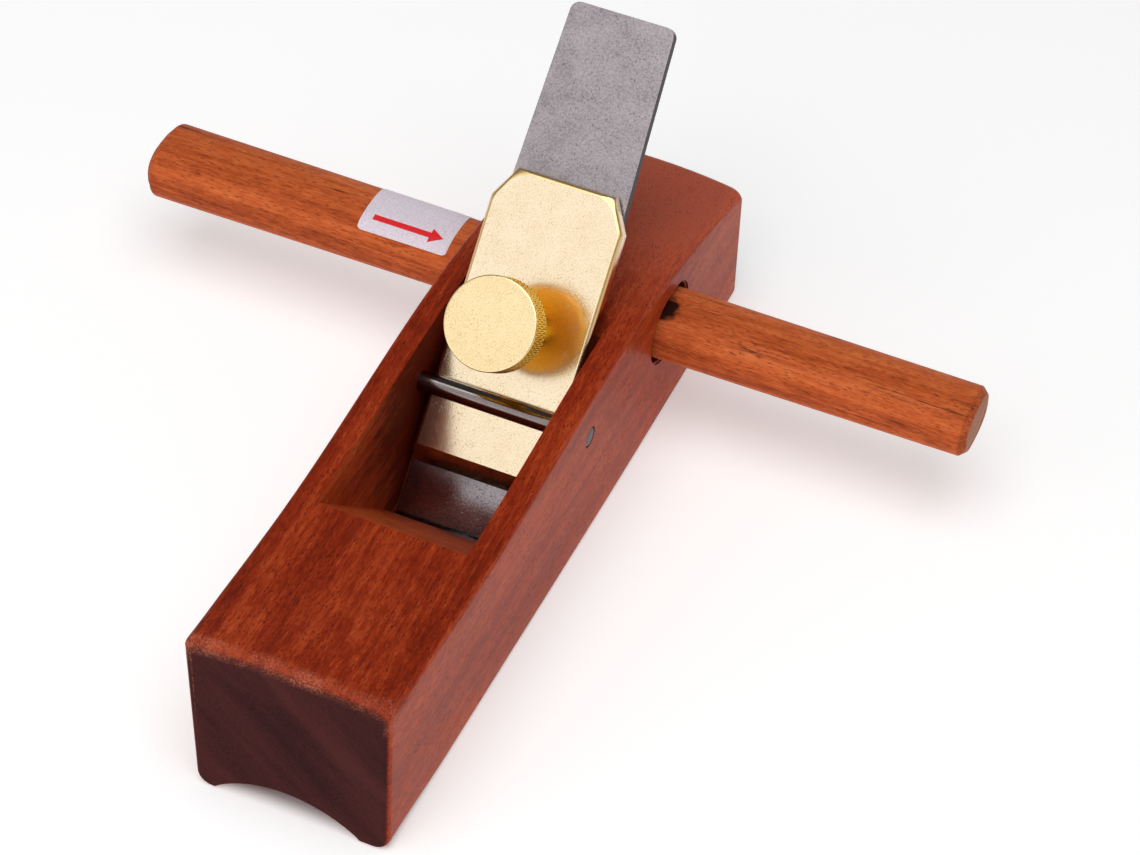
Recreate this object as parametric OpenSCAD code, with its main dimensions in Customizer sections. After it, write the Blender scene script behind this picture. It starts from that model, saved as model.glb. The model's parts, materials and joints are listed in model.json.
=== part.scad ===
// Wooden hand plane with a hollow sole, a cross pin, a lever cap with a thumb
// screw and a tapered bar through the body as its handle.
// Frame: +Y runs from the toe to the heel, +X to the right of the toe, +Z up.
// The origin is the centre of the plane that the two feet of the sole rest on.

/* [Body] */
// Length of the body from toe to heel
body_length = 247; // [235:1:280]
// Width of the body
body_width = 61; // [58:1:68]
// Height of the body at the toe
toe_height = 59.5; // [56:0.5:64]
// Height of the body at the waist, ahead of the throat
waist_height = 54.4; // [53:0.2:56]
// Place along the body of the waist
waist_place = -62; // [-70:1:-55]
// Height of the body at its crest, over the throat
crest_height = 58.8; // [57:0.2:60]
// Place along the body of the crest
crest_place = 27; // [10:1:40]
// Height of the body at the heel
heel_height = 45; // [38:0.5:52]

/* [Sole] */
// Radius of the hollow along the sole
sole_radius = 32.5; // [30:0.5:40]
// Depth of the hollow at its middle
sole_depth = 8.5; // [5:0.5:9]
// Sideways place of the hollow's axis
sole_offset = -1.5; // [-2:0.5:2]

/* [Throat] */
// Angle of the bed above the sole
bed_angle = 47; // [45:1:49]
// Place along the body where the bed meets the sole plane
bed_foot = -16.6; // [-17.5:0.1:-15.5]
// Width of the throat
throat_width = 46; // [45:0.5:48]
// Place along the body of the throat's front edge
throat_front = -60.8; // [-64:0.2:-56]
// Place along the body of the foot of the chip ramp
ramp_foot = -18.2; // [-19:0.2:-17.6]
// Height of the foot of the chip ramp
ramp_foot_height = 10.5; // [9.5:0.5:12]
// Place along the body of the mouth's front edge
mouth_front = -24.2; // [-26:0.2:-23.4]
// Size of the chamfer at the top of the bed
bed_chamfer = 5; // [1:0.5:6]

/* [Plane iron] */
// Thickness of the iron
iron_thickness = 3.5; // [3:0.1:4]
// Distance up the bed of the iron's top end
iron_top = 164.1; // [140:0.1:180]
// Width of the iron at the sole
iron_edge_width = 43.6; // [38:0.2:44]
// Width of the iron at its top end
iron_top_width = 32.4; // [28:0.2:38]
// Radius of the iron's top corners
iron_corner = 3; // [1:0.5:6]
// Angle between the iron's bevel and its face
iron_bevel = 28; // [22:1:35]
// How far the middle of the cutting edge stands out of the hollow sole
iron_projection = 0.8; // [0:0.1:1]

/* [Lever cap] */
// Width of the lever cap
cap_width = 41.5; // [36:0.5:43]
// Width of the lever cap's top end between its cut corners
cap_top_width = 30.4; // [24:0.2:36]
// Distance up the bed of the tip of the nose
cap_nose = 23; // [20:0.5:26]
// Distance up the bed of the lever cap's top end
cap_top = 113.3; // [100:0.1:120]
// Length of the cut corners along the bed
cap_corner_length = 9.6; // [5:0.2:14]
// Thickness of the lever cap
cap_thickness = 4.4; // [4:0.1:4.7]
// Length of the sloped front of the nose
nose_slope_length = 5.2; // [4:0.1:7]

/* [Thumb screw] */
// Radius of the knob
knob_radius = 13.8; // [11:0.1:15]
// Thickness of the knob
knob_thickness = 10; // [8:0.5:14]
// Distance up the bed of the screw's axis
screw_place = 69.5; // [64:0.1:76]
// Gap between the lever cap and the knob
knob_lift = 19.5; // [8:0.5:22]
// Radius of the threaded stud
stud_radius = 3.95; // [2.95:0.05:4.95]

/* [Cross pin] */
// Radius of the cross pin
pin_radius = 3; // [2:0.25:3.5]
// Distance up the bed of the cross pin's axis
pin_place = 46.2; // [42:0.1:50]

/* [Handle] */
// Distance along the body of the handle's axis
handle_place = 65; // [62:0.5:72]
// Height of the handle's axis
handle_height = 36.5; // [34:0.5:38]
// Place of the handle's thick end
handle_left = -141; // [-160:1:-90]
// Place of the handle's thin end
handle_right = 127.5; // [90:0.5:150]
// Width of the thick end
handle_left_width = 25.2; // [24.5:0.1:26.4]
// Height of the thick end
handle_left_height = 19.1; // [18:0.1:20.9]
// Width of the thin end
handle_right_width = 22.6; // [20:0.1:24]
// Height of the thin end
handle_right_height = 17.1; // [15:0.1:18]
// Chamfer round both ends
handle_chamfer = 2; // [0.5:0.5:4]
// Width of the mortise through the body
mortise_width = 27; // [26.6:0.1:28]
// Height of the mortise through the body
mortise_height = 21.5; // [21.1:0.1:22.5]

/* [Direction label] */
// Place of the label's end nearer the body
label_right = -39; // [-50:0.5:-36]
// Length of the label along the handle
label_length = 29.5; // [20:0.5:34]
// Height that the label's two long edges reach down to
label_low = 43.2; // [39:0.2:44.4]
// Thickness of the label
label_thickness = 0.25; // [0.2:0.05:0.4]

/* [Hidden] */
$fn = 96;
// Working gap between pieces that slide past each other
slip = 0.3;
// Radial clearance of a turning or screwing fit
running_clearance = 0.05;
// Overshoot of a cutter past the face that it opens
overcut = 10;
// Centre of the hollow's arc below the sole plane
sole_centre_drop = sole_radius - sole_depth;
// Places of the body's two ends
toe_end = -body_length / 2;
heel_end = body_length / 2;
// Steps along each of the three stretches of the body's curved top
top_steps = 14;
// Slope of the iron's sides, half of its taper
iron_side_slope = (iron_edge_width - iron_top_width) / 2 / iron_top;
// Distance up the bed of the middle of the curved cutting edge
edge_middle = (sole_depth - iron_projection) / sin(bed_angle) - iron_thickness / tan(bed_angle);
// Distance up the bed of the cutting edge's corners, at the sole plane
edge_corner = -iron_thickness / tan(bed_angle);
// The bevel follows the curved edge: radius of the cutter that grinds it
bevel_sagitta = (edge_middle - edge_corner) * sin(iron_bevel);
bevel_radius = (pow(iron_edge_width / 2, 2) + pow(bevel_sagitta, 2)) / (2 * bevel_sagitta);
// Heights above the bed of the cross pin's underside and the lever cap's faces
pin_lift = 12.5;
cap_face = pin_lift - pin_radius - slip;
cap_back = cap_face - cap_thickness;
knob_back = cap_face + knob_lift;
// Depth of the stud's blind seat in the knob
knob_seat = 8;
// Width of the bevel round the knob, and of the one round the pin's ends
rim_bevel = 0.8;
nose_pad_length = 5;
nose_tip_thickness = 1;

// Points of an arc round [x, y], with a corner at every tenth of its sweep
function arc_points(x, y, radius, from, to) =
    [for (i = [0:10]) [x + radius * cos(from + (to - from) * i / 10),
                       y + radius * sin(from + (to - from) * i / 10)]];

// Places children in the bed's own frame: Y up the bed, Z square to it
module on_bed() {
    translate([0, bed_foot, 0])
        rotate([bed_angle, 0, 0])
            children();
}

// Extrudes a side outline, drawn with Y along the body and Z up, across the body
module across(width) {
    rotate([90, 0, 90])
        linear_extrude(height = width, center = true)
            children();
}

// Height of the body's top at place y: it sinks from the toe to the waist,
// swells to the crest and rounds down to the heel
function top_at(y) =
    y < waist_place
        ? waist_height + (toe_height - waist_height) * (1 - sin(90 * (y - toe_end) / (waist_place - toe_end)))
    : y < crest_place
        ? waist_height + (crest_height - waist_height)
            * (1 - cos(180 * (y - waist_place) / (crest_place - waist_place))) / 2
    : crest_height - (crest_height - heel_height)
        * (1 - cos(90 * (y - crest_place) / (heel_end - crest_place)));

// Points along the top from one place to another, without the last
function top_points(from, to) =
    [for (i = [0:top_steps - 1])
        let (y = from + (to - from) * i / top_steps) [y, top_at(y)]];

module body_side() {
    polygon(concat(
        [[heel_end, 0], [toe_end, 0]],
        top_points(toe_end, waist_place),
        top_points(waist_place, crest_place),
        top_points(crest_place, heel_end),
        [[heel_end, heel_height]]
    ));
}

// The round bar that the hollow of the sole fits over
module sole_hollow() {
    translate([sole_offset, 0, -sole_centre_drop])
        rotate([90, 0, 0])
            cylinder(r = sole_radius, h = body_length + 2 * overcut, center = true, $fn = 180);
}

// Height above the sole gives the bed's place along the body
function bed_at(height) = bed_foot + height / tan(bed_angle) + slip / sin(bed_angle);

// Side outline of the throat: chip ramp, wear, mouth, bed and chamfered bed top
module throat_side() {
    bed_top = top_at(bed_at(crest_height));
    above = crest_height + overcut;
    polygon([
        [throat_front, above],
        [throat_front, top_at(throat_front)],
        [ramp_foot, ramp_foot_height],
        [mouth_front, 0],
        [mouth_front, -overcut],
        [bed_at(-overcut), -overcut],
        [bed_at(bed_top - bed_chamfer), bed_top - bed_chamfer],
        [bed_at(bed_top) + bed_chamfer, bed_top],
        [bed_at(bed_top) + bed_chamfer, above]
    ]);
}

module handle_mortise() {
    half_straight = (mortise_width - mortise_height) / 2;
    translate([0, handle_place, handle_height])
        rotate([0, 90, 0]) {
            for (side = [-1, 1])
                translate([0, side * half_straight, 0])
                    cylinder(d = mortise_height, h = body_width + overcut, center = true);
            cube([mortise_height, 2 * half_straight, body_width + overcut], center = true);
        }
}

module cross_pin_place() {
    on_bed()
        translate([0, pin_place, pin_lift])
            rotate([0, 90, 0])
                children();
}

module plane_body() {
    color("saddlebrown")
        difference() {
            across(body_width)
                body_side();
            across(throat_width)
                throat_side();
            sole_hollow();
            handle_mortise();
            cross_pin_place()
                cylinder(r = pin_radius, h = body_width + overcut, center = true);
        }
}

module cross_pin() {
    straight = body_width - 2 * rim_bevel;
    color("dimgray")
        cross_pin_place() {
            cylinder(r = pin_radius, h = straight, center = true);
            for (side = [0, 1])
                mirror([0, 0, side])
                    translate([0, 0, straight / 2])
                        cylinder(r1 = pin_radius, r2 = pin_radius - rim_bevel, h = rim_bevel);
        }
}

// Outline of the iron on the bed: tapered, with rounded top corners
module iron_outline() {
    top_half = iron_top_width / 2;
    low_half = iron_edge_width / 2 + overcut * iron_side_slope;
    centre = [top_half - iron_corner, iron_top - iron_corner];
    polygon(concat(
        [[-low_half, -overcut], [low_half, -overcut]],
        arc_points(centre[0], centre[1], iron_corner, 0, 90),
        arc_points(-centre[0], centre[1], iron_corner, 90, 180)
    ));
}

// Cutter for the bevel under the cutting edge, which leaves a fine flat on it
module iron_bevel_cutter() {
    fine_flat = 0.1;
    translate([sole_offset, edge_middle, iron_thickness - fine_flat])
        rotate([-iron_bevel, 0, 0])
            translate([0, 0, -bevel_radius])
                rotate([90, 0, 0])
                    cylinder(r = bevel_radius, h = 6 * iron_thickness, center = true, $fn = 180);
}

module plane_iron() {
    color("lightslategray")
        difference() {
            on_bed()
                linear_extrude(height = iron_thickness)
                    iron_outline();
            translate([0, 0, -iron_projection])
                sole_hollow();
            translate([0, 0, -overcut])
                cube([body_width, body_width, 2 * overcut], center = true);
            on_bed()
                iron_bevel_cutter();
        }
}

// Outline of the lever cap on the bed, with its two cut top corners
module cap_outline() {
    polygon([
        [-cap_width / 2, cap_nose],
        [cap_width / 2, cap_nose],
        [cap_width / 2, cap_top - cap_corner_length],
        [cap_top_width / 2, cap_top],
        [-cap_top_width / 2, cap_top],
        [-cap_width / 2, cap_top - cap_corner_length]
    ]);
}

// Side outline of the lever cap: sloped nose, pad on the iron, relieved back
module cap_side() {
    pad = iron_thickness + slip;
    polygon([
        [cap_nose, pad],
        [cap_nose + nose_pad_length, pad],
        [cap_nose + nose_pad_length + cap_back - pad, cap_back],
        [cap_top, cap_back],
        [cap_top, cap_face - rim_bevel],
        [cap_top - rim_bevel, cap_face],
        [cap_nose + nose_slope_length, cap_face],
        [cap_nose, pad + nose_tip_thickness]
    ]);
}

module lever_cap() {
    color("gold")
        on_bed()
            difference() {
                intersection() {
                    across(cap_width)
                        cap_side();
                    linear_extrude(height = cap_face + overcut)
                        cap_outline();
                }
                translate([0, screw_place, 0])
                    cylinder(r = stud_radius + running_clearance, h = cap_face + overcut);
            }
}

module thumb_screw_stud() {
    tip = iron_thickness + slip;
    color("silver")
        on_bed()
            translate([0, screw_place, tip]) {
                cylinder(r1 = stud_radius - rim_bevel, r2 = stud_radius, h = rim_bevel);
                translate([0, 0, rim_bevel])
                    cylinder(r = stud_radius, h = knob_back + knob_seat - tip - rim_bevel);
            }
}

module thumb_screw_knob() {
    color("goldenrod")
        on_bed()
            translate([0, screw_place, knob_back])
                difference() {
                    union() {
                        cylinder(r1 = knob_radius - rim_bevel, r2 = knob_radius, h = rim_bevel);
                        translate([0, 0, rim_bevel])
                            cylinder(r = knob_radius, h = knob_thickness - 2 * rim_bevel);
                        translate([0, 0, knob_thickness - rim_bevel])
                            cylinder(r1 = knob_radius, r2 = knob_radius - rim_bevel, h = rim_bevel);
                    }
                    translate([0, 0, -overcut])
                        cylinder(r = stud_radius + running_clearance, h = overcut + knob_seat + slip);
                }
}

// Thin slice of the handle's oval section, at place x
module handle_slice(x, width, height) {
    translate([x, handle_place, handle_height])
        rotate([0, 90, 0])
            for (side = [-1, 1])
                translate([0, side * (width - height) / 2, 0])
                    cylinder(d = height, h = 0.01, center = true, $fn = 40);
}

// The tapered bar, chamfered round both ends and grown all round by grow
module handle_bar(grow) {
    left_full = [handle_left_width + 2 * grow, handle_left_height + 2 * grow];
    right_full = [handle_right_width + 2 * grow, handle_right_height + 2 * grow];
    cut = 2 * handle_chamfer;
    hull() {
        handle_slice(handle_left, left_full[0] - cut, left_full[1] - cut);
        handle_slice(handle_left + handle_chamfer, left_full[0], left_full[1]);
        handle_slice(handle_right - handle_chamfer, right_full[0], right_full[1]);
        handle_slice(handle_right, right_full[0] - cut, right_full[1] - cut);
    }
}

module cross_handle() {
    color("peru")
        handle_bar(0);
}

module direction_label() {
    reach = handle_left_width + 2 * overcut;
    color("ghostwhite")
        difference() {
            intersection() {
                handle_bar(label_thickness);
                translate([label_right - label_length, handle_place - reach / 2, label_low])
                    cube([label_length, reach, handle_left_height]);
            }
            handle_bar(0);
        }
}

plane_body();
cross_pin();
plane_iron();
lever_cap();
thumb_screw_stud();
thumb_screw_knob();
cross_handle();
direction_label();
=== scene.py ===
"""Looks of the hollow-sole hand plane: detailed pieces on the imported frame, materials, light and camera."""

import functools
import json
import math

import bmesh
import bpy
import numpy as np
from mathutils import Matrix, Vector


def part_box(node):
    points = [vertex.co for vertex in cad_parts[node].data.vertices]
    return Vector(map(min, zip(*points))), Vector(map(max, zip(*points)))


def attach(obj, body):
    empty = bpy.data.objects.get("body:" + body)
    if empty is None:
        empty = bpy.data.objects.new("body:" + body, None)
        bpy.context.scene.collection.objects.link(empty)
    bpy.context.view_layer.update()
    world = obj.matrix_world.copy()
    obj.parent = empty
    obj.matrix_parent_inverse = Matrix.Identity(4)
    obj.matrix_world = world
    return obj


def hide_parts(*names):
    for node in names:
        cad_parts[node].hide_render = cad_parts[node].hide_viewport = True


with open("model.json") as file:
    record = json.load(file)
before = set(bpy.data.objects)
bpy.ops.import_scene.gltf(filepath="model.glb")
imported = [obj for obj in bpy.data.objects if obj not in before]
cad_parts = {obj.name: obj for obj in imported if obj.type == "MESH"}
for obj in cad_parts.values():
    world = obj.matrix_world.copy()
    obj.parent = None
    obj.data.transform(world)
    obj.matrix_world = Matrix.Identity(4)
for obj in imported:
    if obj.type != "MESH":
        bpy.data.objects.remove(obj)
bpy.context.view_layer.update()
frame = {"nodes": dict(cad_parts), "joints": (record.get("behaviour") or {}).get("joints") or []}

MM = 0.001
JOINTS = {joint["name"]: joint for joint in frame["joints"]}


# ---------------------------------------------------------------- the bed's own frame

UP_BED = Vector(JOINTS["iron_slide"]["axis"])
OFF_BED = Vector(JOINTS["screw_lift"]["axis"])
SCREW = Vector(JOINTS["knob_turn"]["pos_m"])
PIN = Vector(JOINTS["cap_rock"]["pos_m"])
BED_FOOT = SCREW - UP_BED * (SCREW.z / UP_BED.z)
BED = Matrix.Translation(BED_FOOT) @ Matrix((Vector((1, 0, 0)), UP_BED, OFF_BED)).transposed().to_4x4()
IN_MM = Matrix.Scale(MM, 4)


@functools.cache
def bed_box(node):
    """Lowest and highest corner of a CAD node in millimetres: across, up the bed and off the bed."""
    back = BED.inverted()
    points = np.array([back @ vertex.co for vertex in frame["nodes"][node].data.vertices]) / MM
    return points.min(0), points.max(0)


@functools.cache
def box_mm(node):
    """Lowest and highest corner of a CAD node in the row frame, in millimetres."""
    low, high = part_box(node)
    return np.array(low) / MM, np.array(high) / MM


# ---------------------------------------------------------------- mesh helpers

def new_object(name, points, faces, placing=None):
    """A mesh object from points in millimetres, in the row frame or in the frame that placing gives."""
    mesh = bpy.data.meshes.new(name)
    mesh.from_pydata([tuple(map(float, point)) for point in points], [], faces)
    mesh.transform((placing or Matrix.Identity(4)) @ IN_MM)
    made = bpy.data.objects.new(name, mesh)
    bpy.context.scene.collection.objects.link(made)
    fix_normals(mesh)
    return made


def fix_normals(mesh):
    """Turns all faces of a closed mesh outwards."""
    work = bmesh.new()
    work.from_mesh(mesh)
    bmesh.ops.recalc_face_normals(work, faces=work.faces)
    work.to_mesh(mesh)
    work.free()


def ring_faces(rings, around):
    """Quads between neighbouring rings of points, and one flat face over each end."""
    faces = []
    for ring in range(0, (rings - 1) * around, around):
        for here in range(around):
            after = (here + 1) % around
            faces.append((ring + here, ring + after, ring + around + after, ring + around + here))
    faces.append(tuple(range(around)))
    faces.append(tuple(range((rings - 1) * around, rings * around)))
    return faces


def loft(name, rings, placing=None):
    """A closed solid through rings of equally many points."""
    points = np.concatenate(rings)
    return new_object(name, points, ring_faces(len(rings), len(rings[0])), placing)


def prism(name, outline, low, high, axis, placing=None):
    """An outline of (a, b) points extruded along axis x, or along z, from low to high."""
    rings = [[(end, a, b) if axis == "x" else (a, b, end) for a, b in outline] for end in (low, high)]
    return loft(name, [np.array(ring, float) for ring in rings], placing)


def cut(target, cutter):
    """Takes cutter away from target for good."""
    modifier = target.modifiers.new("cut", "BOOLEAN")
    modifier.object, modifier.operation, modifier.solver = cutter, "DIFFERENCE", "MANIFOLD"
    bake_modifiers(target)
    bpy.data.objects.remove(cutter)


def bake_modifiers(target):
    """Replaces a piece's mesh by what its modifiers make of it, without materials."""
    graph = bpy.context.evaluated_depsgraph_get()
    graph.update()
    old = target.data
    target.data = bpy.data.meshes.new_from_object(target.evaluated_get(graph))
    target.modifiers.clear()
    target.data.materials.clear()
    bpy.data.meshes.remove(old)


def soften(target, wanted, width, steps=3, sharp=28):
    """Rounds the edges over sharp degrees for which wanted(middle in millimetres) is true."""
    work = bmesh.new()
    work.from_mesh(target.data)
    bmesh.ops.remove_doubles(work, verts=work.verts, dist=1e-6)
    edges = [
        edge for edge in work.edges
        if edge.is_manifold
        and edge.calc_face_angle(0) > math.radians(sharp)
        and wanted((edge.verts[0].co + edge.verts[1].co) / 2 / MM)
    ]
    bmesh.ops.bevel(work, geom=edges, offset=width * MM, segments=steps, profile=0.5, affect="EDGES",
                    clamp_overlap=True)
    work.to_mesh(target.data)
    work.free()


def shade(target, sharp=32):
    """Cleans the mesh and shades it smooth; flat faces stay flat and corners over sharp degrees crisp."""
    work = bmesh.new()
    work.from_mesh(target.data)
    bmesh.ops.remove_doubles(work, verts=work.verts, dist=1e-6)
    bmesh.ops.dissolve_degenerate(work, edges=work.edges, dist=1e-6)
    for face in work.faces:
        face.smooth = True
    for edge in work.edges:
        edge.smooth = not (edge.is_manifold and edge.calc_face_angle(0) > math.radians(sharp))
    work.to_mesh(target.data)
    work.free()
    weights = target.modifiers.new("flat faces", "WEIGHTED_NORMAL")
    weights.keep_sharp = True
    weights.weight = 80


def settle(piece, body, node, slot, *materials):
    """Gives a finished piece its materials and its body, and hides the CAD node that it stands for; slot is not
    used.
    """
    for material in materials:
        piece.data.materials.append(material)
    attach(piece, body)
    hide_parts(node)


def smooth_step(value):
    value = np.clip(value, 0, 1)
    return value * value * (3 - 2 * value)


# ---------------------------------------------------------------- materials

def rgb(red, green, blue):
    """A display colour of 0 to 255 as Blender's linear colour."""
    shares = (red / 255, green / 255, blue / 255)
    return (*(c / 12.92 if c <= 0.04045 else ((c + 0.055) / 1.055) ** 2.4 for c in shares), 1.0)


class Shader:
    """A material's node tree, with short calls for the nodes that it uses."""

    def __init__(self, name, **constants):
        self.material = bpy.data.materials.new(name)
        self.material.use_nodes = True
        self.tree = self.material.node_tree
        self.surface = self.tree.nodes["Principled BSDF"]
        for socket, value in constants.items():
            self.surface.inputs[socket.replace("_", " ")].default_value = value
        self.place = self.node("ShaderNodeTexCoord").outputs["Object"]
        self.facing = self.node("ShaderNodeNewGeometry").outputs["Normal"]

    def node(self, kind, inputs=None, **settings):
        made = self.tree.nodes.new(kind)
        for key, value in settings.items():
            setattr(made, key, value)
        for key, value in (inputs or {}).items():
            self.put(made.inputs[key], value)
        return made

    def put(self, socket, value):
        if isinstance(value, bpy.types.NodeSocket):
            self.tree.links.new(value, socket)
        else:
            socket.default_value = value

    def set(self, socket, value):
        self.put(self.surface.inputs[socket], value)

    def math(self, operation, *values):
        made = self.node("ShaderNodeMath", operation=operation)
        for socket, value in zip(made.inputs, values):
            self.put(socket, value)
        return made.outputs[0]

    def times(self, first, second):
        return self.math("MULTIPLY", first, second)

    def plus(self, first, second):
        return self.math("ADD", first, second)

    def minus(self, first, second):
        return self.math("SUBTRACT", first, second)

    def cells(self, sizes, turn=(0, 0, 0), shift=(0, 0, 0)):
        """Coordinates in which one unit is a cell of these sizes in millimetres, turned about the origin."""
        inputs = {"Vector": self.place, "Scale": tuple(size * MM for size in sizes), "Rotation": turn,
                  "Location": tuple(step * MM for step in shift)}
        return self.node("ShaderNodeMapping", inputs, vector_type="TEXTURE").outputs[0]

    def noise(self, sizes, detail=2.0, rough=0.5, twist=0.0, **mapping):
        inputs = {"Vector": self.cells(sizes, **mapping), "Scale": 1.0, "Detail": detail, "Roughness": rough,
                  "Distortion": twist}
        return self.node("ShaderNodeTexNoise", inputs).outputs["Fac"]

    def spots(self, sizes, inner, outer, **mapping):
        """1 inside scattered spots of about half a cell, 0 outside, with an edge from outer to inner."""
        inputs = {"Vector": self.cells(sizes, **mapping), "Scale": 1.0}
        distance = self.node("ShaderNodeTexVoronoi", inputs).outputs["Distance"]
        return self.span(distance, outer, inner)

    def span(self, value, start, end, low=0.0, high=1.0):
        inputs = {"Value": value, "From Min": start, "From Max": end, "To Min": low, "To Max": high}
        return self.node("ShaderNodeMapRange", inputs, clamp=True, interpolation_type="SMOOTHSTEP").outputs[0]

    def ramp(self, value, *stops):
        made = self.node("ShaderNodeValToRGB", {"Fac": value})
        line = made.color_ramp.elements
        while len(line) < len(stops):
            line.new(0.5)
        for element, (position, colour) in zip(line, stops):
            element.position, element.color = position, colour
        return made.outputs["Color"]

    def mix(self, share, first, second, how="MIX"):
        made = self.node("ShaderNodeMix", data_type="RGBA", blend_type=how)
        for index, value in ((0, share), (6, first), (7, second)):
            self.put(made.inputs[index], value)
        return made.outputs[2]

    def part(self, vector, axis):
        return self.node("ShaderNodeSeparateXYZ", {"Vector": vector}).outputs[axis]

    def bump(self, height, depth_mm, strength=1.0, under=None):
        inputs = {"Height": height, "Distance": depth_mm * MM, "Strength": strength}
        if under is not None:
            inputs["Normal"] = under
        return self.node("ShaderNodeBump", inputs).outputs[0]

    def attribute(self, name):
        return self.node("ShaderNodeAttribute", attribute_name=name, attribute_type="GEOMETRY").outputs["Fac"]


def wood(name, axis, tones, end_tones, pore, roughness, level, pores=1.0, worn=None, dark_lines=0.0,
         sides=None, light_fade=None, painted_sheen=None, burn=None):
    """Hardwood with its grain along axis 0 or 1.

    tones run from the darkest streak to the lightest, end_tones are for the end grain, and pore is for the
    pores. worn is the colour of edges where the mesh's "edge" attribute is high: wear, and on the body partly a
    painted highlight along the toe's top edge and corner. dark_lines is the strength of clustered dark streaks.
    sides (axis, start, end, change) is painted light: it shifts the tone by how far the surface faces along an
    axis, lighter for a painted sheen on the body's sides and darker for painted shade on the bar's sides.
    light_fade (start, end, change, share on upright faces) shifts it along the grain: a painted sheen towards
    the heel on the finished top, and painted shade deeper in the throat and the mortise on the cut wood.
    painted_sheen (start, end, colour, share) is a pinkish painted sheen on wood that faces up, and burn
    (place, radius) is a scorched spot."""
    s = Shader(name, IOR=1.17)

    def along(across, length):
        sizes = [across] * 3
        sizes[axis] = length
        return sizes

    slant = (0.0, 0.0, 0.035) if axis == 1 else (0.0, 0.03, 0.02)
    broad = s.noise(along(11, 150), detail=2.0, twist=0.6, turn=slant)
    streak = s.noise(along(1.3, 30), detail=4.0, rough=0.62, twist=0.25, turn=slant)
    fibre = s.noise(along(0.32, 3.2), detail=2.0, rough=0.65, turn=slant)
    fleck = s.noise(along(3.5, 7), detail=3.0, rough=0.6)
    dashes = s.spots(along(0.62, 3.0), 0.12, 0.36, turn=slant)
    long_dashes = s.spots(along(2.1, 11), 0.04, 0.15, turn=slant, shift=(31, 7, 53))
    tone = s.plus(s.times(broad, 0.26), s.times(streak, 0.30))
    tone = s.plus(tone, s.times(fibre, 0.26))
    tone = s.plus(tone, s.times(fleck, 0.18))
    far = s.times(s.part(s.place, axis), 1 / MM)
    # Painted light: faces square to an axis get a shifted tone, a painted sheen on the body's sides and painted
    # shade on the bar's sides.
    if sides:
        faces = s.math("ABSOLUTE", s.part(s.facing, sides[0]))
        tone = s.plus(tone, s.span(faces, sides[1], sides[2], 0.0, sides[3]))
    # Painted light along the grain: a painted sheen towards the heel on the finished top, painted shade deeper
    # in the throat and the mortise on the cut wood.
    if light_fade:
        upward = s.span(s.part(s.facing, 2), 0.3, 0.8, light_fade[3], 1.0)
        tone = s.plus(tone, s.times(s.span(far, light_fade[0], light_fade[1], 0.0, light_fade[2]), upward))
    dark, middle, light = tones
    colour = s.ramp(tone, (0.34, dark), (0.50, middle), (0.66, light))
    dashes, long_dashes = s.times(dashes, 0.72 * pores), s.times(long_dashes, 0.75 * pores)
    open_pores = s.math("MAXIMUM", dashes, long_dashes)
    open_pores = s.times(open_pores, s.span(fleck, 0.38, 0.58, 0.35, 1.0))
    colour = s.mix(open_pores, colour, pore)
    if dark_lines:
        lines = s.noise(along(0.75, 17), detail=3.0, rough=0.55, turn=slant, shift=(17, 41, 23))
        cluster = s.noise(along(5.5, 42), detail=2.0, turn=slant, shift=(72, 13, 4))
        lines = s.times(s.span(lines, 0.54, 0.68), s.span(cluster, 0.50, 0.64))
        colour = s.mix(s.times(lines, dark_lines), colour, pore)
    # A pinkish painted sheen on wood that faces up towards the heel, standing in for the reflection of the
    # bright surroundings.
    if painted_sheen:
        painted_sheen_share = s.span(far, painted_sheen[0], painted_sheen[1], 0.0, painted_sheen[3])
        painted_sheen_share = s.times(painted_sheen_share, s.span(s.part(s.facing, 2), 0.55, 0.9))
        colour = s.mix(s.times(painted_sheen_share, s.span(fleck, 0.3, 0.7, 0.75, 1.0)), colour, painted_sheen[2])
    if burn:
        place, radius = burn
        distance = s.node("ShaderNodeVectorMath", {0: s.place, 1: place}, operation="DISTANCE").outputs["Value"]
        spot = s.math("DIVIDE", distance, MM)
        spot = s.plus(spot, s.times(s.noise((2.2, 2.2, 2.2), detail=3.0), 5.0))
        colour = s.mix(s.span(spot, radius + 4.2, radius + 1.4, 0.0, 0.96), colour, rgb(22, 10, 10))

    across_grain = s.math("ABSOLUTE", s.part(s.facing, axis))
    end = s.span(across_grain, 0.62, 0.93)
    ring_sizes, ring_turn = ((46, 46, 9), (0.0, 0.8, 0.0)) if axis == 1 else ((16, 16, 3), (0.5, 0.0, 0.0))
    rings = s.noise(ring_sizes, detail=4.0, twist=0.4, turn=ring_turn)
    specks = s.noise((0.55, 0.55, 0.55), detail=2.0, rough=0.7)
    end_colour = s.ramp(s.plus(s.times(rings, 0.62), s.times(specks, 0.38)),
                        (0.36, end_tones[0]), (0.62, end_tones[1]))
    colour = s.mix(end, colour, end_colour)

    rough = s.plus(roughness, s.times(s.minus(streak, 0.5), 0.25))
    rough = s.plus(rough, s.times(open_pores, 0.2))
    rough = s.plus(rough, s.times(end, 0.16))
    # Colour of worn edges: real wear on the bar's ends, and on the body partly a painted highlight along the
    # toe's top edge and corner.
    if worn is not None:
        patchy = s.span(s.noise((7, 7, 7), detail=3.0, rough=0.6), 0.36, 0.62, 0.25, 1.0)
        wear_and_highlight = s.times(s.attribute("edge"), patchy)
        wear_and_highlight = s.times(wear_and_highlight, s.span(specks, 0.42, 0.62, 0.15, 0.85))
        colour = s.mix(wear_and_highlight, colour, worn)
        rough = s.plus(rough, s.times(wear_and_highlight, 0.12))
    s.set("Base Color", colour)
    s.set("Roughness", s.math("MINIMUM", rough, 0.95))
    s.set("Specular IOR Level", s.times(s.minus(1.0, s.times(end, 0.8)), level))

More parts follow.
